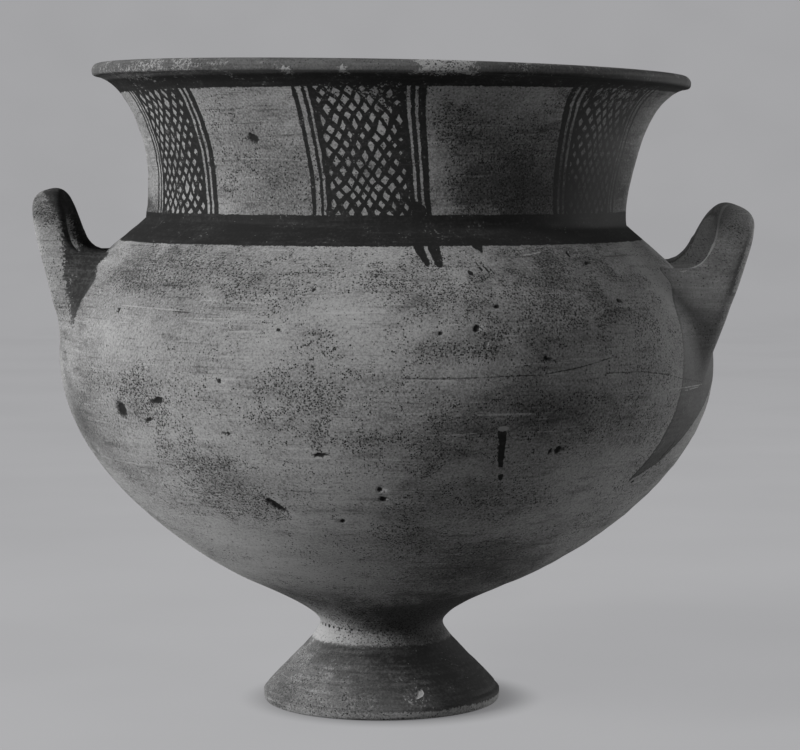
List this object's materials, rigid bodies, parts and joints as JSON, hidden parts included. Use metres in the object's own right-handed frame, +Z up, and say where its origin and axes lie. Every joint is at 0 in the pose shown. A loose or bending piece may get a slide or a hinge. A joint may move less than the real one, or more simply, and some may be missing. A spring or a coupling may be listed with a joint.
{
  "type": "two-handled footed bowl",
  "caption": "Deep wheel-made pottery bowl with a flaring neck, two upright loop handles on its shoulder and a hollow conical foot.",
  "frame": {"origin": "on the floor, at the middle of the object's bounding box; the foot's own centre is 4.6 mm towards -X because the bowl leans over a level foot", "axes": "+Z up, +X across the two handles towards the wider and lower one, -Y towards the side that shows best"},
  "size_m": [0.2917, 0.2664, 0.2604],
  "materials": {
    "fired_clay": "matt pale slip over fired clay, worn and speckled, with matt dark brushed bands, lattice panels and handle stripes"
  },
  "bodies": {
    "root": {"footed_bowl": "fired_clay"}
  },
  "joints": []
}
